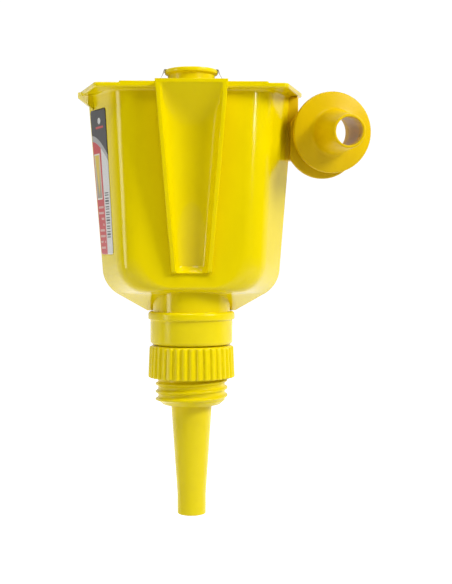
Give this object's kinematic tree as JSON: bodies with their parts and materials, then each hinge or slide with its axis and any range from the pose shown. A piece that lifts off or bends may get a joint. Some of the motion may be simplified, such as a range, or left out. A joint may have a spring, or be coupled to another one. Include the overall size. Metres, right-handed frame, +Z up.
{
  "type": "funnel",
  "caption": "Flat-backed funnel with a quarter-turn shut-off valve, threaded plug and tapered spout, a stored nozzle in its back pocket and a push-on adapter parked at its side.",
  "frame": {"origin": "centre of the spout's lower end, on the funnel's axis", "axes": "+Z up along the spout and neck; the flat back with the nozzle pocket faces -Y; the pour lip points to -X and the parked adapter is on the +X side"},
  "size_m": [0.1827, 0.0965, 0.2742],
  "materials": {
    "yellow_plastic": "moulded gloss, faint flow marks",
    "black_rubber": "matt",
    "steel": "plain",
    "steel_mesh": "woven wire",
    "white_plastic": "moulded",
    "clear_film": "clear film",
    "printed_label": "coated print"
  },
  "bodies": {
    "spout_unit": {"coupling_nut": "yellow_plastic", "retaining_ring": "white_plastic", "flange_gasket": "black_rubber", "threaded_plug": "yellow_plastic", "spout_o_ring": "black_rubber", "spout": "yellow_plastic", "valve_disc": "yellow_plastic"},
    "bowl": {"bowl": "yellow_plastic", "valve_housing": "yellow_plastic", "neck_seal": "black_rubber", "valve_seat_seal": "black_rubber", "valve_pivot_screw": "steel", "nut_o_ring": "black_rubber", "adapter_holder": "yellow_plastic", "label": "printed_label"},
    "strainer": {"strainer_frame": "yellow_plastic", "strainer_mesh": "steel_mesh"},
    "nozzle": {"stored_nozzle": "yellow_plastic", "clear_tape": "clear_film"},
    "adapter": {"adapter": "yellow_plastic", "adapter_grip_ring": "black_rubber"}
  },
  "joints": [
    {"name": "valve_turn", "type": "hinge", "parent": "spout_unit", "child": "bowl", "pos_m": [0, 0, 0.1], "axis": [0, 0, 1], "range_deg": [0, 90]},
    {"name": "strainer_lift", "type": "slide", "parent": "bowl", "child": "strainer", "axis": [0, 0, 1], "range_m": [0, 0.035]},
    {"name": "nozzle_lift", "type": "slide", "parent": "bowl", "child": "nozzle", "axis": [0, 0, 1], "range_m": [0, 0.11]},
    {"name": "adapter_pull", "type": "slide", "parent": "bowl", "child": "adapter", "axis": [0.1764, -0.9805, -0.0872], "range_m": [0, 0.04]}
  ]
}
